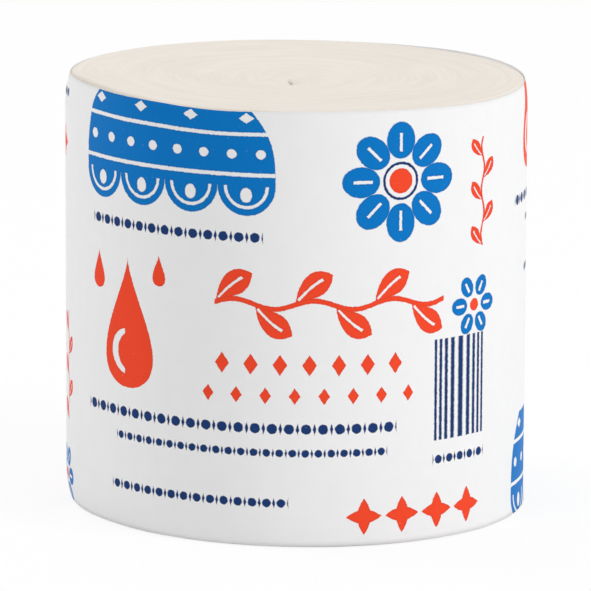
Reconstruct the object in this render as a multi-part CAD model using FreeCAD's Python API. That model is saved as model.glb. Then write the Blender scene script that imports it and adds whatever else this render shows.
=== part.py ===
import FreeCAD
import Part
import math
import os

# A coreless toilet paper roll in its printed wrapper, standing on one end.
# Sizes are in millimetres and angles in degrees. Z is up, the roll's axis is the Z axis,
# and the origin is the middle of the end that the roll stands on. The front is at -Y.
#
# Two pieces of paper make the object: the wound web, which has no tube inside, and one
# turn of wrapping paper. The log was wrapped before it was sawn into rolls, so both
# pieces have the same width and both of their edges are sawn.

# Wound paper
WEB_WIDTH = 90.0  # width of the web, which is the height of the standing roll
ROLL_DIAMETER = 96.0  # wound paper, inside the wrapper
RIM_BEVEL = 0.5  # the saw crushes the outermost turns a little

# Turns that show on the sawn ends. The web is 0.111 mm thick, so one turn of the groove
# parts two bands of more than thirty real turns.
TURN_PITCH = 3.8  # radial growth of the spiral in one turn
GROOVE_WIDTH = 1.1
GROOVE_DEPTH = 0.35
PLAIN_RIM = 1.6  # flat paper between the last groove and the bevel

# The eye, where the winding pin was pulled out and the first turns fell together
EYE_LENGTH = 8.0  # along Y
EYE_WIDTH = 0.8
EYE_X = -1.5  # the slack turns let the eye settle off the axis
EYE_Y = -8.0
DIMPLE_MARGIN = 2.25  # the soft turns are drawn in, as a funnel, this far past the eye's points
DIMPLE_FLOOR = 3.0  # diameter of the funnel's flat bottom
DIMPLE_DEPTH = 0.5
DIMPLE_BORDER = 0.6  # flat paper between the funnel and the first groove

# Wrapper
WRAPPER_SLACK = 0.05  # air between it and the wound paper, which it isn't glued to
WRAPPER_THICKNESS = 0.1
WRAPPER_RISE = 0.3  # it has slid up the roll by this much since sawing
WRAPPER_OVERLAP = 14.0  # length of the outer end that lies over the inner end
CLIMB_LENGTH = 1.5  # over this length the outer end climbs on to the inner end
LIP_LENGTH = 3.0  # the last of the overlap has no glue
LIP_LIFT = 0.2  # and stands this far off at its edge
SEAM_ANGLE = 68.0  # where the inner end lies, anticlockwise from +X, so on the back

ORIGIN = FreeCAD.Vector(0, 0, 0)
UP = FreeCAD.Vector(0, 0, 1)


def polar(radius, angle):
    """The point of the ground plane at this radius and angle about the roll's axis."""
    turned = math.radians(angle)
    return FreeCAD.Vector(radius * math.cos(turned), radius * math.sin(turned), 0)


def arc(radius, start, end):
    """An edge round the roll's axis, from one angle to another, either way round."""
    middle = polar(radius, (start + end) / 2)
    return Part.Arc(polar(radius, start), middle, polar(radius, end)).toShape()


def line(start, end):
    return Part.makeLine(start, end)


def wound_cylinder():
    """The web wound up solid, with both sawn edges slightly bevelled."""
    cylinder = Part.makeCylinder(ROLL_DIAMETER / 2, WEB_WIDTH)
    rims = [edge for edge in cylinder.Edges if len(edge.Vertexes) == 1]
    return cylinder.makeChamfer(RIM_BEVEL, rims)


def half_turn(end_height, outward, centre_x, radius, start_angle):
    """The V of the groove, swept half a turn about a centre on the X axis.

    outward is 1 on the upper end and -1 on the lower end. The section stands out of the
    end face by the groove's own depth. Out there the V is two groove widths across.
    """
    crest = end_height + outward * GROOVE_DEPTH
    bottom = end_height - outward * GROOVE_DEPTH
    corners = [
        FreeCAD.Vector(radius - GROOVE_WIDTH, 0, crest),
        FreeCAD.Vector(radius, 0, bottom),
        FreeCAD.Vector(radius + GROOVE_WIDTH, 0, crest),
    ]
    section = Part.Face(Part.makePolygon(corners + corners[:1]))
    section.rotate(ORIGIN, UP, start_angle)
    centre = FreeCAD.Vector(centre_x, 0, 0)
    section.translate(centre)
    return section.revolve(centre, UP, 180)


def dimple_radius():
    return EYE_LENGTH / 2 + DIMPLE_MARGIN


def spiral_groove(end_height, outward):
    """The spiral between the bands of turns on one end, as a row of half turns.

    Each half turn is half a pitch larger than the one before. Its centre lies a quarter
    of a pitch to one side of the axis, and the next one's as far to the other side, so
    the halves meet without a corner.
    """
    funnel = math.hypot(EYE_X, EYE_Y) + dimple_radius()
    inner = funnel + DIMPLE_BORDER + GROOVE_WIDTH / 2 + TURN_PITCH / 4
    outer = ROLL_DIAMETER / 2 - RIM_BEVEL - PLAIN_RIM - GROOVE_WIDTH / 2 - TURN_PITCH / 4
    count = int((outer - inner) / (TURN_PITCH / 2)) + 1
    halves = []
    for index in range(count):
        side = -1 if index % 2 == 0 else 1
        start_angle = 0 if index % 2 == 0 else 180
        radius = inner + index * TURN_PITCH / 2
        halves.append(half_turn(end_height, outward, side * TURN_PITCH / 4, radius, start_angle))
    return halves


def eye_slit():
    """The pinched hole through the middle: two shallow arcs that meet in points."""
    front = FreeCAD.Vector(EYE_X, EYE_Y - EYE_LENGTH / 2, 0)
    back = FreeCAD.Vector(EYE_X, EYE_Y + EYE_LENGTH / 2, 0)
    left = FreeCAD.Vector(EYE_X - EYE_WIDTH / 2, EYE_Y, 0)
    right = FreeCAD.Vector(EYE_X + EYE_WIDTH / 2, EYE_Y, 0)
    sides = [Part.Arc(front, right, back).toShape(), Part.Arc(back, left, front).toShape()]
    return Part.Face(Part.Wire(sides)).extrude(UP * WEB_WIDTH)


def eye_dimple(end_height, outward):
    """The funnel around the eye. It is cut by a cone that also stands out of the end face."""
    floor = DIMPLE_FLOOR / 2
    brim = 2 * dimple_radius() - floor
    bottom = FreeCAD.Vector(EYE_X, EYE_Y, end_height - outward * DIMPLE_DEPTH)
    return Part.makeCone(floor, brim, 2 * DIMPLE_DEPTH, bottom, UP * outward)


def paper_roll():
    """The wound web with its turns and its eye."""
    hollows = [eye_slit()]
    for end_height, outward in ((0.0, -1), (WEB_WIDTH, 1)):
        hollows.append(eye_dimple(end_height, outward))
        hollows.extend(spiral_groove(end_height, outward))
    return wound_cylinder().cut(hollows)


def wrapper():
    """One turn of wrapping paper, its outer end glued down over its inner end.

    The section is drawn in the ground plane. The angles run from the inner end's edge,
    and the glued layers are one solid, with a slim gap under the lip and another beside
    the inner edge, where the outer end climbs over it.
    """
    inner_face = ROLL_DIAMETER / 2 + WRAPPER_SLACK
    one_layer = inner_face + WRAPPER_THICKNESS
    two_layers = one_layer + WRAPPER_THICKNESS
    degrees_per_mm = math.degrees(1 / one_layer)
    climb = SEAM_ANGLE - CLIMB_LENGTH * degrees_per_mm
    glue_end = SEAM_ANGLE + (WRAPPER_OVERLAP - LIP_LENGTH) * degrees_per_mm
    lip_edge = SEAM_ANGLE + WRAPPER_OVERLAP * degrees_per_mm

    outside = [
        line(polar(one_layer + LIP_LIFT, lip_edge), polar(two_layers + LIP_LIFT, lip_edge)),
        line(polar(two_layers + LIP_LIFT, lip_edge), polar(two_layers, glue_end)),
        arc(two_layers, glue_end, SEAM_ANGLE),
        line(polar(two_layers, SEAM_ANGLE), polar(one_layer, climb)),
        arc(one_layer, climb, glue_end - 360),
        line(polar(one_layer, glue_end), polar(one_layer + LIP_LIFT, lip_edge)),
    ]
    inside = [
        line(polar(inner_face, SEAM_ANGLE), polar(one_layer, SEAM_ANGLE)),
        line(polar(one_layer, SEAM_ANGLE), polar(inner_face, climb)),
        arc(inner_face, climb, SEAM_ANGLE - 360),
    ]
    section = Part.Face([Part.Wire(outside), Part.Wire(inside)])
    section.translate(UP * WRAPPER_RISE)
    return section.extrude(UP * WEB_WIDTH)


def main():
    os.makedirs("parts", exist_ok=True)
    for name, build in (("paper_roll", paper_roll), ("wrapper", wrapper)):
        build().exportStep(f"parts/{name}.step")


main()
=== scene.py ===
"""The looks of a coreless toilet paper roll in its printed wrapper.

Meshes are in metres. The print's pattern is worked out in millimetres on the flat sheet.
"""

import math

import bmesh
import bpy
from mathutils import Matrix, Vector, noise

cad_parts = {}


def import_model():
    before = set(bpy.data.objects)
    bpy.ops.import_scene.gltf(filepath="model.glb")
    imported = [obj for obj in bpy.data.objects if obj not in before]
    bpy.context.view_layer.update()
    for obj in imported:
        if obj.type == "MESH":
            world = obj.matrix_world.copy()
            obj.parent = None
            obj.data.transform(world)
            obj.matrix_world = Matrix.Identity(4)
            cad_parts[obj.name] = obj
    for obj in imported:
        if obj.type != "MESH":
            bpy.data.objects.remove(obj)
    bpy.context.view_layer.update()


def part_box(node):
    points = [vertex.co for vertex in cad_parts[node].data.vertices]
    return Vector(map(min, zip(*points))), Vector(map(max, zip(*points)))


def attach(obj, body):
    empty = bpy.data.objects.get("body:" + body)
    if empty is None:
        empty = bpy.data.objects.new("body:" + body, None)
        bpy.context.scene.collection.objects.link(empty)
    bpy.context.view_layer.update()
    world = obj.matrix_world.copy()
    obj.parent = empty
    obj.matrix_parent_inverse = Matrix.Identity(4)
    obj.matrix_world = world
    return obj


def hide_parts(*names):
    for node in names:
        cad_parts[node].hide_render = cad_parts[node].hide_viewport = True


bl_info = {
    "name": "Wrapped Paper Roll",
    "version": (1, 0, 0),
    "blender": (4, 5, 0),
    "location": "View3D > Sidebar > Paper Roll",
    "description": "Builds a coreless toilet paper roll in its printed wrapper",
    "category": "Add Mesh",
}

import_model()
ROLL_LOW, ROLL_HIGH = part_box("paper_roll")
WRAPPER_LOW, WRAPPER_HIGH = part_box("wrapper")

MM = 0.001
ROLL_RADIUS = ROLL_HIGH.x
ROLL_HEIGHT = ROLL_HIGH.z - ROLL_LOW.z

# Settings


def length_property(name, description, default):
    return bpy.props.FloatProperty(
        name=name, description=description, default=default, subtype="DISTANCE", unit="LENGTH"
    )


def angle_property(name, description, degrees):
    return bpy.props.FloatProperty(
        name=name, description=description, default=math.radians(degrees), subtype="ANGLE"
    )


def count_property(name, description, default, least_count):
    return bpy.props.IntProperty(name=name, description=description, default=default, min=least_count)


def share_property(name, description, default):
    return bpy.props.FloatProperty(name=name, description=description, default=default, min=0, max=1)


def colour_property(name, description, default):
    return bpy.props.FloatVectorProperty(
        name=name, description=description, default=default, subtype="COLOR", min=0, max=1
    )


class WoundPaperSettings(bpy.types.PropertyGroup):
    segments: count_property("Segments", "Steps round the roll", 216, 24)
    rings: count_property("Rings", "Rings of faces on each sawn end", 212, 20)
    wall_rows: count_property("Wall rows", "Rows of faces up the outer wall and the eye", 14, 2)
    eye_length: length_property("Eye length", "Length of the pinched eye", 8.0 * MM)
    eye_width: length_property("Eye width", "Width of the pinched eye", 0.8 * MM)
    eye_bow: length_property("Eye bow", "How far the pinched eye is bent sideways", 0.8 * MM)
    eye_x: length_property("Eye X", "Where the eye has settled, from the axis", -1.35 * MM)
    eye_y: length_property("Eye Y", "Where the eye has settled, from the axis", -8 * MM)
    slack_radius: length_property("Slack radius", "The turns inside this are pulled oval", 38 * MM)
    funnel_radius: length_property("Funnel radius", "Soft turns drawn in around the eye", 6.2 * MM)
    funnel_depth: length_property("Funnel depth", "Depth of the funnel around the eye", 0.4 * MM)
    fold_depth: length_property("Fold depth", "Depth of the folds around the eye", 0.42 * MM)
    lip_width: length_property("Lip width", "Width of the eye's rounded lips", 0.9 * MM)
    lip_depth: length_property("Lip depth", "Depth of the eye's rounded lips", 0.6 * MM)
    turn_pitch: length_property("Band pitch", "Radial growth of the wide spiral", 3.8 * MM)
    first_turn: length_property("First band", "Radius where the wide spiral starts", 9.7 * MM)
    groove_width: length_property("Groove width", "Width between two bands of turns", 0.9 * MM)
    groove_depth: length_property("Groove depth", "Depth between two bands of turns", 0.1 * MM)
    ridge_height: length_property("Ridge height", "Height of the small groups of turns", 0.028 * MM)
    saw_wave: length_property("Saw wave", "Height of the wide waves that the saw left", 0.05 * MM)
    rim_bevel: length_property("Rim bevel", "How far the saw crushed the outer turns", 0.35 * MM)
    outer_turn_rise: length_property("Outer turn rise", "How far the outer turns rose", 1.1 * MM)
    tissue: colour_property("Tissue", "Colour of the tissue", (0.833, 0.770, 0.696))
    tissue_shade: colour_property("Tissue shade", "Tissue between its turns", (0.735, 0.670, 0.595))
    fleck: colour_property("Fleck", "Colour of the recycled flecks", (0.50, 0.47, 0.44))


class WrapperSettings(bpy.types.PropertyGroup):
    columns: count_property("Columns", "Faces along the sheet", 300, 40)
    rows: count_property("Rows", "Faces across the sheet", 76, 8)
    thickness: length_property("Thickness", "Thickness of the wrapping paper", 0.1 * MM)
    overlap: length_property("Overlap", "How much of the sheet lies over its own start", 14 * MM)
    climb: length_property("Climb", "Length over which the outer end climbs", 1.5 * MM)
    lip_length: length_property("Lip length", "The last stretch, which has no glue", 3 * MM)
    lip_lift: length_property("Lip lift", "How far the loose edge stands off", 0.2 * MM)
    seam_angle: angle_property("Seam angle", "Where the inner end lies, anticlockwise from +X", 68)
    slack: length_property("Slack", "Height of the soft waves in the paper", 0.06 * MM)
    flare: length_property("Flare", "How far the sawn edges stand off", 0.5 * MM)
    rim_rise: length_property("Rim rise", "How far the upper rim rises and sinks", 0.5 * MM)
    rim_sink: length_property("Rim sink", "How far the whole upper rim was pushed down", 0.45 * MM)
    rim_drift: length_property("Rim drift", "How far the saw wandered on both rims", 0.12 * MM)
    torn_fibre: length_property("Torn fibre", "How ragged the sawn edges are", 0.05 * MM)
    paper: colour_property("Paper", "Colour of the wrapping paper", (0.86, 0.86, 0.86))
    paper_shade: colour_property("Paper shade", "Thin places in the paper", (0.82, 0.822, 0.83))
    blue: colour_property("Blue ink", "Colour of the cloth and the petals", (0.002, 0.172, 0.525))
    navy: colour_property("Navy ink", "Colour of the beads and the pleats", (0.012, 0.042, 0.160))
    red: colour_property("Red ink", "Colour of the leaves and the drops", (0.86, 0.066, 0.024))


class StageSettings(bpy.types.PropertyGroup):
    camera_distance: length_property("Camera distance", "From the roll's axis", 1.2)
    camera_height: length_property("Camera height", "Above the floor", 0.2791)
    camera_tilt: angle_property("Camera tilt", "How far the camera looks down", 11.137)
    camera_roll: angle_property("Camera roll", "How far the camera leans to its left", 0.9)
    camera_lens: bpy.props.FloatProperty(
        name="Lens", description="Focal length", default=355, subtype="DISTANCE_CAMERA"
    )
    floor_radius: length_property("Floor radius", "Radius of the round floor", 6)
    floor: colour_property("Floor", "Colour of the floor", (0.97, 0.97, 0.97))
    floor_white: share_property("Floor white", "How white the camera sees the floor", 0.85)
    surround_light: share_property("Surround light", "Strength of the even light", 0.65)


# Shader nodes


class Wire:
    """An output socket of a node. Arithmetic on wires adds Math nodes."""

    def __init__(self, shader, socket):
        self.shader = shader
        self.socket = socket

    def math(self, operation, *others, clamp=False):
        return self.shader.math(operation, self, *others, clamp=clamp)

    def __add__(self, other):
        return self.math("ADD", other)

    def __sub__(self, other):
        return self.math("SUBTRACT", other)

    def __rsub__(self, other):
        return self.shader.math("SUBTRACT", other, self)

    def __mul__(self, other):
        return self.math("MULTIPLY", other)

    def __truediv__(self, other):
        return self.math("DIVIDE", other)

    def __pow__(self, other):
        return self.math("POWER", other)

    def __mod__(self, other):
        return self.math("FLOORED_MODULO", other)

    def __abs__(self):
        return self.math("ABSOLUTE")

    __radd__ = __add__
    __rmul__ = __mul__

    def clamped(self):
        """Held between 0 and 1."""
        return self.math("MAXIMUM", 0.0, clamp=True)


class Shader:
    """The node tree of a material or a world."""

    def __init__(self, owner):
        owner.use_nodes = True
        self.owner = owner
        self.tree = owner.node_tree
        self.tree.nodes.clear()

    def node(self, kind, settings=None, values=None, output=0):
        """Adds a node, sets it up, feeds its sockets and returns one of its outputs."""
        node = self.tree.nodes.new(kind)
        for name, setting in (settings or {}).items():
            setattr(node, name, setting)
        for key, value in (values or {}).items():
            if isinstance(value, Wire):
                self.tree.links.new(value.socket, node.inputs[key])
            else:
                node.inputs[key].default_value = value
        return Wire(self, node.outputs[output]) if node.outputs else None

    def math(self, operation, *values, clamp=False):
        settings = {"operation": operation, "use_clamp": clamp}
        return self.node("ShaderNodeMath", settings, dict(enumerate(values)))

    def xyz(self, vector):
        """The three parts of a vector."""
        first = self.node("ShaderNodeSeparateXYZ", values={0: vector})
        return [Wire(self, socket) for socket in first.socket.node.outputs]

    def vector(self, x, y, z):
        return self.node("ShaderNodeCombineXYZ", values={0: x, 1: y, 2: z})

    def place_on_object(self):
        """Object coordinates, in metres."""
        return self.node("ShaderNodeTexCoord", output="Object")

    def noise(self, vector, scale, detail=2.0, roughness=0.5):
        """Noise from 0 to 1, with waves of about 1 / scale."""
        values = {"Vector": vector, "Scale": scale, "Detail": detail, "Roughness": roughness}
        return self.node("ShaderNodeTexNoise", values=values)

    def spots(self, vector, scale, threshold, sharpness, detail=2.0):
        """Small spots of 1 with soft rims, where the noise is over the threshold, and 0 elsewhere."""
        return ((self.noise(vector, scale, detail) - threshold) * sharpness).clamped()

    def mix(self, factor, one, other):
        """From the first colour to the second one as the factor goes from 0 to 1.

        The node has sockets of the same names for numbers, vectors and colours. Those for
        colours are the inputs 6 and 7 and the output 2.
        """
        settings = {"data_type": "RGBA"}
        return self.node("ShaderNodeMix", settings, {0: factor, 6: one, 7: other}, output=2)

    def bump(self, height, distance, strength):
        """A normal from a height that goes from 0 to 1 and stands for this distance in metres."""
        values = {"Height": height, "Distance": distance, "Strength": strength}
        return self.node("ShaderNodeBump", values=values)

    def finish(self, surface, kind="ShaderNodeOutputMaterial"):
        self.node(kind, values={"Surface": surface})
        return self.owner


def rgba(colour):
    return (*colour, 1.0)


def least(*wires):
    result = wires[0]
    for wire in wires[1:]:
        result = result.math("MINIMUM", wire)
    return result


def most(*wires):
    result = wires[0]
    for wire in wires[1:]:
        result = result.math("MAXIMUM", wire)
    return result


# Motifs of the print. Each gives a wire that is below zero inside the motif, in millimetres.


def radius_of(u, v):
    return (u * u + v * v).math("SQRT")


def repeat(u, spacing):
    """The place within a row of cells this wide: from minus half a cell to plus half."""
    return (u + spacing / 2) % spacing - spacing / 2


def in_row(u, count, spacing):
    """The place within a row of this many cells, which is centred on the origin."""
    return repeat(u + spacing * (count % 2 - 1) / 2, spacing)


def span(u, centre, half):
    """A strip of this half width."""
    return abs(u - centre) - half


def moved(u, v, centre):
    """Coordinates with their origin at this centre."""
    return u - centre[0], v - centre[1]


def turned(u, v, angle):
    """Coordinates on axes turned anticlockwise by this angle in degrees."""
    cosine, sine = math.cos(math.radians(angle)), math.sin(math.radians(angle))
    return u * cosine + v * sine, v * cosine - u * sine


def leaf(u, v, length, width):
    """A pointed leaf that lies along u."""
    return abs(v) - (1 - (u * u) * (4 / length**2)) * (width / 2)


def veined_leaf(u, v, length, width, vein):
    """A pointed leaf with a bare vein that stops short of its tip."""
    bare = most(abs(v) - vein / 2, span(u, -length / 10, length / 3))
    return most(leaf(u, v, length, width), bare * -1)


def garland(u, v, leaves, spacing, length, width):
    """Leaves on both sides of a waving stem that lies along u."""
    half = leaves * spacing / 2
    stem_sway = spacing / 9
    stem_width = width / 9
    leaf_reach = length * 0.34
    lean = 38
    along = u + half
    index = (along / spacing).math("FLOOR")
    cell = along - index * spacing - spacing / 2
    side = 1 - (index % 2) * 2
    sway = (along * (math.pi / spacing)).math("SINE") * stem_sway
    across = (v - sway) * side
    p, q = turned(cell, across - leaf_reach, lean)
    inside = span(u, 0, half)
    stem = most(abs(v - sway) - stem_width, inside)
    return least(stem, most(veined_leaf(p, q, length, width, width / 9), inside))


def blossom(u, v, petals, inner, outer, width):
    """Rounded petals in a ring, each with a bare slit."""
    slit_half = 0.3
    angle = v.math("ARCTAN2", u)
    folded = repeat(angle, 2 * math.pi / petals)
    reach = radius_of(u, v)
    p = reach * folded.math("COSINE")
    q = reach * folded.math("SINE")
    middle, half = (inner + outer) / 2, (outer - inner) / 2
    petal = (radius_of((p - middle) / half, q / (width / 2)) - 1) * (width / 2)
    slit = most(abs(q) - slit_half, span(p, middle - half / 10, half / 2))
    return most(petal, slit * -1)


def drop(u, v, height, width):
    """A drop that stands on its round end, with its tip up."""
    level = (v * (2 / height)).math("MAXIMUM", -1.0).math("MINIMUM", 1.0)
    bulge = (1 - level * level).math("SQRT") * ((1 - level) * 0.5)
    fullest_bulge = 0.65
    return most(abs(u) - bulge * (width / 2 / fullest_bulge), abs(v) - height / 2)


def crescent_drop(u, v, height, width):
    """A drop with a bare crescent on its left side, left between two circles."""
    belly_v = v + height * 0.22
    outer_circle = radius_of(u, belly_v) - width * 0.34
    inner_circle = radius_of(u - width * 0.09, belly_v) - width * 0.30
    crescent = most(outer_circle, inner_circle * -1, u + width * 0.06)
    return most(drop(u, v, height, width), crescent * -1)


def bead_row(u, v, beads, radius):
    """Round beads with slim upright lozenges between them, centred on the origin."""
    spacing = radius * 3.3
    reel_width = radius * 0.36
    reel_height = radius * 1.15
    bead = radius_of(in_row(u, beads, spacing), v) - radius
    between = in_row(u, beads + 1, spacing)
    reel = (abs(between) / reel_width + abs(v) / reel_height - 1) * reel_width
    return most(least(bead, reel), span(u, 0, spacing * beads / 2))


def lozenge_row(u, v, count, spacing, width, height):
    cell = in_row(u, count, spacing)
    lozenge = (abs(cell) / (width / 2) + abs(v) / (height / 2) - 1) * (width / 2)
    return most(lozenge, span(u, 0, spacing * count / 2))


def pleats(u, v, half_width, half_height):
    """Upright bars that get slimmer from the middle of the panel to both of its sides."""
    bars_per_mm, bars_gained = 0.36, 0.034
    bar_half = 0.27
    reach = abs(u)
    bars = reach * bars_per_mm + reach * reach * bars_gained
    bar = abs(repeat(bars, 1.0)) - bar_half
    return most(bar, span(u, 0, half_width), span(v, 0, half_height))


def scallops(u, v, count, radius, top):
    """A hanging cloth with a scalloped lower edge, its scallops' centres at v = 0."""
    half = count * radius
    cell = in_row(u, count, 2 * radius)
    drawn_in = (v / top).math("MAXIMUM", 0.0) ** 3 * radius
    cloth = most(v - top, v * -1, abs(u) - half + drawn_in)
    hem = most(radius_of(cell, v) - radius, span(u, 0, half))
    return least(cloth, hem)


def scallop_trim(u, v, count, radius, top):
    """Bare curves and drops in the scallops, and bare lines, dots and lozenges above them."""
    curve_half, line_half = 0.32, 0.4
    lozenge_half_width, lozenge_half_height = 1.6, 1.1
    cell = in_row(u, count, 2 * radius)
    curve = most(abs(radius_of(cell, v) - radius * 0.72) - curve_half, v)
    inner_drop = radius_of(cell, (v + radius * 0.30) * 0.8) - radius * 0.2
    dots = radius_of(repeat(u + radius / 2, radius), v - top * 0.40) - radius * 0.17
    lines = least(abs(v - top * 0.66) - line_half, abs(v - top * 0.14) - line_half)
    lozenge = abs(cell) / lozenge_half_width + abs(v - top * 0.86) / lozenge_half_height - 1
    lozenge = lozenge * lozenge_half_height
    return most(least(curve, inner_drop, dots, lines, lozenge), span(u, 0, count * radius))


def star(u, v, length, width):
    """Four pointed leaves that cross in the middle."""
    return least(leaf(u, v, length, width), leaf(v, u, length, width))


def star_row(u, v, count, spacing, length, width):
    cell = in_row(u, count, spacing)
    return most(star(cell, v, length, width), span(u, 0, spacing * count / 2))


# The print, which repeats one tile along the sheet, each time shifted across it. Places on the
# tile are in millimetres: u from the middle of the front, and v up from the sheet's lower edge.

TILE_WIDTH, TILE_HEIGHT, TILE_SHIFT = 110.0, 112.0, 70.0
TILE_LEFT, TILE_LOW = -58.0, -4.0

CLOTH_CENTRE = (-28, 74)
CLOTH = {"count": 4, "radius": 6.0, "top": 17}
LARGE_BLOSSOM_CENTRE = (22, 75)
SMALL_BLOSSOM_CENTRE = (41.5, 47.5)
TWIG_CENTRE = (44, 71)


def on_tile(u, v):
    """Where a place of the sheet lies on the tile."""
    index = ((u - TILE_LEFT) / TILE_WIDTH).math("FLOOR")
    shifted = v - TILE_LOW + index * TILE_SHIFT
    return u - index * TILE_WIDTH, shifted % TILE_HEIGHT + TILE_LOW


def blue_shapes(u, v):
    """The scalloped cloth and the petals of both blossoms."""
    cloth_place = moved(u, v, CLOTH_CENTRE)
    cloth = most(scallops(*cloth_place, **CLOTH), scallop_trim(*cloth_place, **CLOTH) * -1)
    large = moved(u, v, LARGE_BLOSSOM_CENTRE)
    small = moved(u, v, SMALL_BLOSSOM_CENTRE)
    return least(
        cloth,
        blossom(*large, petals=8, inner=4.6, outer=12.6, width=6.4),
        blossom(*small, petals=6, inner=2.2, outer=6.6, width=3.6),
    )


def red_shapes(u, v):
    """The garland, the twig, the drops, the lozenges, the stars and the blossoms' middles."""
    twig_place = turned(*moved(u, v, TWIG_CENTRE), 90)
    return least(
        garland(u - 8, v - 50, leaves=6, spacing=8.2, length=9.6, width=4.9),
        garland(*twig_place, leaves=5, spacing=4.6, length=5.2, width=2.6),
        crescent_drop(u + 38, v - 43, height=27, width=14),
        drop(u + 47.5, v - 53, height=8, width=4),
        drop(u + 29.5, v - 55, height=6.5, width=3.2),
        lozenge_row(u - 3, v - 37.6, count=7, spacing=6.0, width=3.0, height=4.4),
        lozenge_row(u - 3, v - 31.2, count=8, spacing=6.0, width=2.4, height=3.4),
        star_row(u - 27, v - 6, count=4, spacing=8.4, length=7.6, width=2.9),
        radius_of(*moved(u, v, LARGE_BLOSSOM_CENTRE)) - 2.6,
        radius_of(*moved(u, v, SMALL_BLOSSOM_CENTRE)) - 1.3,
    )


def navy_shapes(u, v):
    """The rows of beads, the pleats and the ring in the large blossom."""
    ring_radius, ring_half = 3.7, 0.28
    return least(
        bead_row(u + 28, v - 63.6, beads=13, radius=1.0),
        bead_row(u + 15, v - 24.4, beads=21, radius=1.05),
        bead_row(u + 11, v - 19.4, beads=23, radius=0.8),
        bead_row(u + 22, v - 9.0, beads=14, radius=0.9),
        bead_row(u - 37.5, v - 16.5, beads=5, radius=0.9),
        pleats(u - 37.5, v - 31, half_width=7.4, half_height=10.5),
        abs(radius_of(*moved(u, v, LARGE_BLOSSOM_CENTRE)) - ring_radius) - ring_half,
    )


# Materials


def tissue_material(settings):
    """Sawn tissue: close turns with a little colour between them, fibres and recycled flecks."""
    shader = Shader(bpy.data.materials.new("sawn_tissue"))
    place = shader.node("ShaderNodeAttribute", {"attribute_name": "round_place"}, output="Vector")
    x, y, _ = shader.xyz(place)
    ring = radius_of(x, y)
    around_x, around_y = x / ring, y / ring
    ring = ring / MM

    def turns(across, along):
        """Noise in long arcs: across is waves per millimetre, along is waves per radian."""
        vector = shader.vector(around_x * along, around_y * along, ring * across)
        return shader.noise(vector, 1.0, 1.0)

    wide, narrow, fine = turns(0.45, 0.9), turns(1.9, 2.6), turns(6.5, 7.0)
    coordinates = shader.place_on_object()
    fibre = shader.noise(coordinates, 2600, 3.0, 0.6)
    cloud = shader.noise(coordinates, 70)
    fleck = shader.spots(coordinates, 900, threshold=0.70, sharpness=9, detail=1.0)

    mean_shade = 0.28
    layers = ((wide, 0.9), (narrow, 0.8), (fine, 0.5), (cloud, 0.5), (fibre, 0.3))
    shade = sum(((layer - 0.5) * weight for layer, weight in layers), mean_shade).clamped()
    colour = shader.mix(shade, rgba(settings.tissue), rgba(settings.tissue_shade))
    colour = shader.mix(fleck * 0.25, colour, rgba(settings.fleck))
    height = narrow * 0.35 + fine * 0.35 + fibre * 0.3
    values = {
        "Base Color": colour,
        "Roughness": 0.92,
        "Specular IOR Level": 0.25,
        "Sheen Weight": 0.15,
        "Sheen Roughness": 0.6,
        "Normal": shader.bump(height, 0.12 * MM, 0.6),
    }
    return shader.finish(shader.node("ShaderNodeBsdfPrincipled", values=values))


def printed_distances(shader, settings):
    """How far each place of the sheet lies outside the blue, red and navy shapes, in millimetres."""
    ragged_edge = 0.34
    grain = 1600
    sheet = shader.node("ShaderNodeUVMap", {"uv_map": "sheet"})
    along, across, _ = shader.xyz(sheet)
    ragged = shader.noise(shader.vector(along, across, 0.0), grain) - 0.5
    ragged_too = shader.noise(shader.vector(along, across, 0.02), grain) - 0.5
    front = (1.5 * math.pi - settings.seam_angle) * sheet_radius() / MM
    u, v = on_tile(along / MM - front + ragged * ragged_edge, across / MM + ragged_too * ragged_edge)
    return blue_shapes(u, v), red_shapes(u, v), navy_shapes(u, v)


def printed_over(shader, colour, coordinates, settings):
    """The paper's colour with the three inks over it, and how much the inks cover."""
    edge_softness = 0.16
    squeezed_rim, squeezed_share, squeezed_tone = 0.45, 0.45, 0.62
    bare_spots = shader.spots(coordinates, 2400, threshold=0.72, sharpness=8)
    density = 1 - bare_spots * 0.5
    covers = []
    inks = (settings.blue, settings.red, settings.navy)
    for distance, ink in zip(printed_distances(shader, settings), inks):
        cover = (0.5 - distance / edge_softness).clamped()
        squeezed = (1 + distance / squeezed_rim).clamped() * squeezed_share
        darker = [part * squeezed_tone for part in ink]
        colour = shader.mix(cover * density, colour, shader.mix(squeezed, rgba(ink), rgba(darker)))
        covers.append(cover)
    return colour, most(*covers)


def wrapping_material(settings, printed):
    """Thin white wrapping paper. The outer face has three flat inks."""
    name = "printed_wrapping_paper" if printed else "plain_wrapping_paper"
    shader = Shader(bpy.data.materials.new(name))
    coordinates = shader.place_on_object()
    fibre = shader.noise(coordinates, 1500, 3.0, 0.6)
    cloud = shader.noise(coordinates, 260, 3.0, 0.6)
    colour = shader.mix(cloud, rgba(settings.paper), rgba(settings.paper_shade))
    roughness = 0.62
    if printed:
        colour, inked = printed_over(shader, colour, coordinates, settings)
        roughness = roughness - inked * 0.12
    values = {
        "Base Color": colour,
        "Roughness": roughness,
        "Specular IOR Level": 0.05,
        "Normal": shader.bump(fibre * 0.6 + cloud * 0.4, 0.02 * MM, 0.5),
    }
    return shader.finish(shader.node("ShaderNodeBsdfPrincipled", values=values))


# Unevenness that the saw, the stack and the hand left

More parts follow.
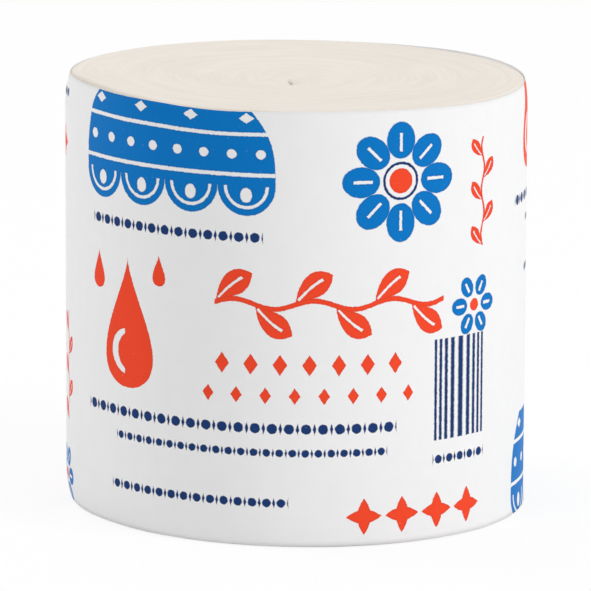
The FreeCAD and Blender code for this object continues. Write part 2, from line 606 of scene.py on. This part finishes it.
# Where the wrapper's upper rim stands off the paper, where that rim has slid up or down, and
# where the outer turns were pushed up. Each row has the angle from +X, the half width in
# degrees and the share of the largest value.
RIM_STAND_OFF = ((38, 50, 0.6), (-144, 36, 2.0), (-60, 60, 0.2))
RIM_RISE = ((35, 45, 0.6), (-154, 34, 1.5), (-108, 22, -0.9), (125, 50, -0.4), (-36, 42, -0.9))
OUTER_TURN_RISE = ((-154, 36, 1.0),)

# The rims were pressed in at -X, and the upper one a little at +X too. The roll leans to -X.
SHOULDER_DEPTH = 1.0 * MM
SHOULDER_HEIGHT = 6 * MM
SHOULDER_START = 0.8  # of the radius: nothing nearer to the axis was pressed in
FAR_SHOULDER = 0.6  # of the depth, at +X
LEAN = math.tan(math.radians(0.65))


def smooth_step(low, high, value):
    share = min(max((value - low) / (high - low), 0.0), 1.0)
    return share * share * (3 - 2 * share)


def bumps(angle, places):
    """Smooth bumps round the roll, each given by its angle, its half width and its height."""
    total = 0.0
    for centre, half_width, height in places:
        away = (math.degrees(angle) - centre + 180) % 360 - 180
        total += height * (1 - smooth_step(0, half_width, abs(away)))
    return total


def arc_noise(angle, waves, depth):
    """Noise from -1 to 1 that closes on itself round the roll, with these waves per radian."""
    return noise.noise(Vector((math.cos(angle) * waves, math.sin(angle) * waves, depth)))


def uneven(angle, mean, swing, waves, depth):
    """A share that wanders round the roll by this swing from its mean, but never below zero."""
    return max(mean + swing * arc_noise(angle, waves, depth), 0.0)


def handled(place):
    """Where a place of the true cylinder goes once the roll was sawn, stacked and squeezed."""
    ring = math.hypot(place.x, place.y)
    from_end = max(0.0, min(place.z, ROLL_HEIGHT - place.z))
    shoulder = SHOULDER_DEPTH * max(0.0, 1 - from_end / SHOULDER_HEIGHT) ** 2
    side = 0.5 - 0.5 * place.x / ring
    share = side**2
    if place.z > ROLL_HEIGHT / 2:
        share += FAR_SHOULDER * (1 - side) ** 4
    pressed = shoulder * share * smooth_step(SHOULDER_START * ROLL_RADIUS, ROLL_RADIUS, ring)
    kept = 1 - pressed / ring
    leant = LEAN * (place.z - ROLL_HEIGHT / 2)
    return Vector((place.x * kept - leant, place.y * kept, place.z))


def object_from(bm, name, materials):
    """A smooth shaded object at the origin from a bmesh, which is freed."""
    mesh = bpy.data.meshes.new(name)
    for face in bm.faces:
        face.smooth = True
    bm.to_mesh(mesh)
    bm.free()
    for material in materials:
        mesh.materials.append(material)
    piece = bpy.data.objects.new(name, mesh)
    bpy.context.scene.collection.objects.link(piece)
    return piece


# Wound paper. In its functions, end is 1 on the upper end and -1 on the lower one.

RIDGES_IN_BAND = 5
NEXT_BAND = 0.6  # how far on in the noise the next band lies
GROOVE_SHARPNESS = 1.5
PLAIN_RIM = 2 * MM  # the grooves fade out over this width
SAW_WAVE_LENGTH = 25 * MM
FOLD_WIDTH = 1.3 * MM
FOLD_REACH = 1.8  # of the funnel's radius
RISE_START = 0.55  # of the roll's radius, from where the turns were pushed up
WRINKLE = 0.3 * MM
WRINKLE_LENGTH = 1.6 * MM
WRINKLE_WIDTH = 2.4 * MM
EYE_CLOSING = 0.55  # of its width, which the eye loses further in
EYE_CLOSING_DEPTH = 12 * MM


def band_recess(ring, angle, end, settings):
    """How deep the saw left the bands of turns at one place of a sawn end.

    A groove parts two bands. Each band slipped a little, and has a few low ridges.
    """
    turns = (ring - settings.first_turn) / settings.turn_pitch - angle / (2 * math.pi)
    band = math.floor(turns)
    from_groove = min(turns - band, band + 1 - turns) * settings.turn_pitch
    groove = max(0.0, 1 - from_groove / (settings.groove_width / 2)) ** GROOVE_SHARPNESS
    groove *= uneven(angle, 0.65, 0.6, 1.6, ring / (9 * MM) + end)
    along_spiral = NEXT_BAND * (band + angle / (2 * math.pi))
    slipped = 0.5 + 0.5 * noise.noise(Vector((along_spiral, end, 7.0)))
    drift = 0.35 * arc_noise(angle, 2.4, ring / (6 * MM) + 3 * end)
    ridge = 0.5 + 0.5 * math.cos(2 * math.pi * (RIDGES_IN_BAND * turns + drift))
    ridge *= uneven(angle, 0.6, 0.5, 3.0, ring / (2.5 * MM) - 2 * end)
    fade = smooth_step(0.8, 1.1, ring / settings.first_turn)
    fade *= smooth_step(0.0, PLAIN_RIM, ROLL_RADIUS - ring)
    return fade * settings.groove_depth * (groove + 0.5 * slipped) + settings.ridge_height * ridge


def sawn_recess(ring, angle, end, settings):
    """How far one place of a sawn end lies inside the web's width."""
    saw_wave = settings.saw_wave * uneven(angle, 1, 1, ring / SAW_WAVE_LENGTH, 5.0 + end)
    from_eye = ring - settings.eye_width / 2
    funnel = settings.funnel_depth * (1 - smooth_step(0.0, settings.funnel_radius, from_eye))
    funnel += settings.lip_depth * math.exp(-from_eye / settings.lip_width)
    folds = settings.fold_depth * (1 - smooth_step(0.0, FOLD_REACH * settings.funnel_radius, ring))
    folds *= uneven(angle, 0.5, 0.5, 1.8, ring / FOLD_WIDTH + 11 * end)
    crushed = smooth_step(settings.rim_bevel * 2, 0.0, ROLL_RADIUS - ring)
    rim = settings.rim_bevel * crushed**2
    if end > 0:
        pushed_up = smooth_step(ROLL_RADIUS * RISE_START, ROLL_RADIUS, ring)
        rim -= settings.outer_turn_rise * pushed_up * bumps(angle, OUTER_TURN_RISE)
    return saw_wave + funnel + folds + rim + band_recess(ring, angle, end, settings)


def pinched(ring, angle, settings):
    """Where a place of a round winding goes when its eye is pinched to a slit."""
    eye_half = settings.eye_length / 2
    focus = math.sqrt(eye_half**2 - (settings.eye_width / 2) ** 2)
    slack = 1 - smooth_step(0.0, settings.slack_radius, ring)
    x = ring * math.cos(angle)
    y = math.hypot(ring, focus * slack) * math.sin(angle)
    loose = 1 - smooth_step(0.0, settings.funnel_radius, ring)
    bow = settings.eye_bow * (max(0.0, 1 - (y / eye_half) ** 2) - 0.5)
    wrinkle = WRINKLE * noise.noise(Vector((0.0, y / WRINKLE_LENGTH, ring / WRINKLE_WIDTH)))
    x += loose * (bow + wrinkle)
    return x + settings.eye_x * slack, y + settings.eye_y * slack


def wound_cylinder(settings):
    """The closed section of the web, from the eye's wall to the outer one, spun round."""
    inner = settings.eye_width / 2
    bm = bmesh.new()
    corners = [
        Vector((inner, 0, 0)),
        Vector((ROLL_RADIUS, 0, 0)),
        Vector((ROLL_RADIUS, 0, ROLL_HEIGHT)),
        Vector((inner, 0, ROLL_HEIGHT)),
    ]
    sides = (settings.rings, settings.wall_rows, settings.rings, settings.wall_rows)
    section = []
    for start, stop, cells in zip(corners, corners[1:] + corners[:1], sides):
        section.extend(bm.verts.new(start.lerp(stop, step / cells)) for step in range(cells))
    for here, after in zip(section, section[1:] + section[:1]):
        bm.edges.new((here, after))
    bmesh.ops.spin(
        bm,
        geom=bm.verts[:] + bm.edges[:],
        axis=(0, 0, 1),
        cent=(0, 0, 0),
        angle=2 * math.pi,
        steps=settings.segments,
        use_merge=True,
    )
    bmesh.ops.recalc_face_normals(bm, faces=bm.faces)
    return bm


def wound_paper(settings):
    """The wound web, pinched at its eye and sawn uneven. The round place is kept for the turns."""
    eye_wall = settings.eye_width / 2 + 0.01 * MM
    middle = ROLL_HEIGHT / 2
    bm = wound_cylinder(settings)
    round_place = bm.verts.layers.float_vector.new("round_place")
    for vert in bm.verts:
        vert[round_place] = vert.co
        height = vert.co.z
        ring = math.hypot(vert.co.x, vert.co.y)
        angle = math.atan2(vert.co.y, vert.co.x)
        end = (height > middle) - (height < middle)
        to_end = middle - abs(height - middle)
        x, y = pinched(ring, angle, settings)
        if ring < eye_wall:
            closing = 1 - EYE_CLOSING * smooth_step(0.0, EYE_CLOSING_DEPTH, to_end)
            x = settings.eye_x + (x - settings.eye_x) * closing
        held = 1 - smooth_step(0.0, middle, to_end)
        recess = sawn_recess(ring, angle, end, settings) * held
        vert.co = handled(Vector((x, y, ROLL_LOW.z + height - end * recess)))
    return object_from(bm, "wound_paper", [tissue_material(settings)])


# Wrapper

# Soft waves and sharper creases of the sheet, counted in a radian round the roll
WAVES = 2.6
WAVE_LENGTH = 70 * MM
CREASES = 10.4
CREASE_LENGTH = 45 * MM

UPPER_FLARE_HEIGHT = 7 * MM
LOWER_FLARE_HEIGHT = 4 * MM
LOWER_FLARE = 0.35  # of the upper rim's
DRIFT_START = 30 * MM  # from the middle of the sheet's width
DRIFT_END = 45 * MM


def sheet_radius():
    """Radius of the outer face where the sheet lies in one layer."""
    return WRAPPER_HIGH.x


def sheet_length(settings):
    return 2 * math.pi * sheet_radius() + settings.overlap


def flat_sheet(settings):
    """The wrapping paper as it was cut: x along it, y across it, its outer face at z = 0."""
    length, width = sheet_length(settings), WRAPPER_HIGH.z - WRAPPER_LOW.z
    bm = bmesh.new()
    bmesh.ops.create_grid(bm, x_segments=settings.columns, y_segments=settings.rows, size=0.5)
    bmesh.ops.transform(
        bm,
        matrix=Matrix.Diagonal((length, width, 1, 1)) @ Matrix.Translation((0.5, 0.5, 0)),
        verts=bm.verts,
    )
    back = bmesh.ops.extrude_face_region(bm, geom=bm.faces[:])
    back_verts = [item for item in back["geom"] if isinstance(item, bmesh.types.BMVert)]
    bmesh.ops.translate(bm, verts=back_verts, vec=(0, 0, -settings.thickness))
    bmesh.ops.recalc_face_normals(bm, faces=bm.faces)
    sheet = bm.loops.layers.uv.new("sheet")
    for face in bm.faces:
        face.material_index = 0 if face.normal.z > 0.5 else 1
        for loop in face.loops:
            loop[sheet].uv = loop.vert.co.xy
    return bm


def layer_lift(along, settings):
    """How far the sheet is lifted by its own start, and by its loose lip."""
    length = sheet_length(settings)
    seam = length - settings.overlap
    lip = length - settings.lip_length
    climbed = smooth_step(seam - settings.climb, seam, along) * settings.thickness
    return climbed + settings.lip_lift * smooth_step(lip, length, along) ** 1.5


def sheet_waves(angle, height, settings):
    """Soft waves of the wrapped paper, which stands off more towards its sawn edges."""
    wave = uneven(angle, 0.5, 0.5, WAVES, height / WAVE_LENGTH)
    crease = uneven(angle, 0, 1, CREASES, height / CREASE_LENGTH)
    top, bottom = WRAPPER_HIGH.z - height, height - WRAPPER_LOW.z
    if top < bottom:
        flared = bumps(angle, RIM_STAND_OFF) * (1 - smooth_step(0, UPPER_FLARE_HEIGHT, top))
    else:
        flared = LOWER_FLARE * uneven(angle, 0, 1, 1.7, 9.0)
        flared *= 1 - smooth_step(0, LOWER_FLARE_HEIGHT, bottom)
    return settings.slack * 0.6 * (wave + crease) + settings.flare * flared


def saw_drift(angle, height, settings):
    """The sawn edges wander a little, and the fibres at them are torn."""
    middle = (WRAPPER_HIGH.z + WRAPPER_LOW.z) / 2
    upper = height > middle
    near_edge = smooth_step(DRIFT_START, DRIFT_END, abs(height - middle))
    drift_depth, torn_depth = (4.0, 1.0) if upper else (14.0, 21.0)
    drift = settings.rim_drift * arc_noise(angle, 2.2, drift_depth)
    drift += settings.torn_fibre * arc_noise(angle, 60.0, torn_depth)
    if upper:
        drift += settings.rim_rise * bumps(angle, RIM_RISE) - settings.rim_sink
    return near_edge * drift


def wrapper(settings):
    """The printed sheet, rolled once round the wound paper and lapped over its own start."""
    bm = flat_sheet(settings)
    radius = sheet_radius()
    for vert in bm.verts:
        along, across, depth = vert.co
        angle = settings.seam_angle + along / radius
        height = WRAPPER_LOW.z + across
        reach = radius + depth + layer_lift(along, settings) + sheet_waves(angle, height, settings)
        height += saw_drift(angle, height, settings)
        vert.co = handled(Vector((reach * math.cos(angle), reach * math.sin(angle), height)))
    materials = [wrapping_material(settings, True), wrapping_material(settings, False)]
    return object_from(bm, "printed_wrapper", materials)


# Stage

# Each lamp's name, its place and its size in metres, and its power in watts.
LAMPS = (
    ("key", (2.06, -0.96, 1.3), 1.0, 25),
    ("left", (-2.09, 0.76, 0.9), 1.0, 11),
    ("overhead", (-0.3, 0.4, 2.2), 1.6, 6.5),
)
WHITE = (1.0, 1.0, 1.0, 1.0)


def seen(shader):
    """1 for the rays of the camera, of mirrors and of clear things, and otherwise 0."""
    path = shader.node("ShaderNodeLightPath").socket.node.outputs
    kinds = ("Is Camera Ray", "Is Glossy Ray", "Is Transmission Ray")
    return most(*(Wire(shader, path[kind]) for kind in kinds))


def floor_material(settings):
    """A pale floor that looks almost white and keeps a faint shadow."""
    shader = Shader(bpy.data.materials.new("pale_floor"))
    matt = shader.node("ShaderNodeBsdfDiffuse", values={"Color": rgba(settings.floor)})
    white = shader.node("ShaderNodeEmission", values={"Color": WHITE, "Strength": 1.0})
    values = {0: seen(shader) * settings.floor_white, 1: matt, 2: white}
    return shader.finish(shader.node("ShaderNodeMixShader", values=values))


def floor(settings):
    below_roll = 0.01 * MM
    bm = bmesh.new()
    bmesh.ops.create_circle(bm, cap_ends=True, segments=96, radius=settings.floor_radius)
    bmesh.ops.translate(bm, verts=bm.verts, vec=(0, 0, ROLL_LOW.z - below_roll))
    return object_from(bm, "floor", [floor_material(settings)])


def world(settings):
    """Even soft light, which the camera and mirrors see as white."""
    shader = Shader(bpy.data.worlds.new("studio"))
    values = {"Color": WHITE, "Strength": settings.surround_light}
    light = shader.node("ShaderNodeBackground", values=values)
    white = shader.node("ShaderNodeBackground", values={"Color": WHITE, "Strength": 1.0})
    surface = shader.node("ShaderNodeMixShader", values={0: seen(shader), 1: light, 2: white})
    bpy.context.scene.world = shader.finish(surface, "ShaderNodeOutputWorld")


def lamp(name, place, size, power):
    """A square area lamp that faces the middle of the roll."""
    light = bpy.data.lights.new(name, "AREA")
    light.size = size
    light.energy = power
    lamp_object = bpy.data.objects.new(name, light)
    aim = Vector((0, 0, ROLL_HEIGHT / 2)) - Vector(place)
    turn = aim.to_track_quat("-Z", "Y").to_matrix().to_4x4()
    lamp_object.matrix_world = Matrix.Translation(place) @ turn
    bpy.context.scene.collection.objects.link(lamp_object)


def camera(settings):
    data = bpy.data.cameras.new("camera")
    data.sensor_width = 36
    data.lens = settings.camera_lens
    camera_object = bpy.data.objects.new("camera", data)
    place = Matrix.Translation((0, -settings.camera_distance, settings.camera_height))
    look = Matrix.Rotation(math.pi / 2 - settings.camera_tilt, 4, "X")
    camera_object.matrix_world = place @ look @ Matrix.Rotation(settings.camera_roll, 4, "Z")
    bpy.context.scene.collection.objects.link(camera_object)
    bpy.context.scene.camera = camera_object


# Operators and panel


class PAPER_ROLL_OT_wound_paper(bpy.types.Operator):
    """Build the wound paper with its sawn ends and its pinched eye"""

    bl_idname = "paper_roll.wound_paper"
    bl_label = "Wound Paper"

    def execute(self, context):
        piece = wound_paper(context.scene.wound_paper)
        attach(piece, "root")
        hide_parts("paper_roll")
        return {"FINISHED"}


class PAPER_ROLL_OT_wrapper(bpy.types.Operator):
    """Build the printed wrapper, lapped at the back"""

    bl_idname = "paper_roll.wrapper"
    bl_label = "Printed Wrapper"

    def execute(self, context):
        piece = wrapper(context.scene.wrapper)
        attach(piece, "root")
        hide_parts("wrapper")
        return {"FINISHED"}


class PAPER_ROLL_OT_stage(bpy.types.Operator):
    """Set up the floor, the lights and the camera"""

    bl_idname = "paper_roll.stage"
    bl_label = "Stage"

    def execute(self, context):
        settings = context.scene.roll_stage
        floor(settings)
        world(settings)
        for name, place, size, power in LAMPS:
            lamp(name, place, size, power)
        camera(settings)
        context.scene.view_settings.view_transform = "Standard"
        return {"FINISHED"}


class PAPER_ROLL_PT_panel(bpy.types.Panel):
    """The roll's pieces, one button each"""

    bl_idname = "PAPER_ROLL_PT_panel"
    bl_label = "Paper Roll"
    bl_space_type = "VIEW_3D"
    bl_region_type = "UI"
    bl_category = "Paper Roll"

    def draw(self, context):
        for operator in OPERATORS:
            self.layout.operator(operator.bl_idname)


OPERATORS = (PAPER_ROLL_OT_wound_paper, PAPER_ROLL_OT_wrapper, PAPER_ROLL_OT_stage)
SETTINGS = {
    "wound_paper": WoundPaperSettings,
    "wrapper": WrapperSettings,
    "roll_stage": StageSettings,
}


def register():
    for group in (*SETTINGS.values(), *OPERATORS, PAPER_ROLL_PT_panel):
        bpy.utils.register_class(group)
    for name, group in SETTINGS.items():
        setattr(bpy.types.Scene, name, bpy.props.PointerProperty(type=group))


def unregister():
    for name in SETTINGS:
        delattr(bpy.types.Scene, name)
    for group in (PAPER_ROLL_PT_panel, *OPERATORS, *SETTINGS.values()):
        bpy.utils.unregister_class(group)


def main():
    register()
    bpy.ops.paper_roll.wound_paper()
    bpy.ops.paper_roll.wrapper()
    bpy.ops.paper_roll.stage()


if __name__ == "__main__":
    main()
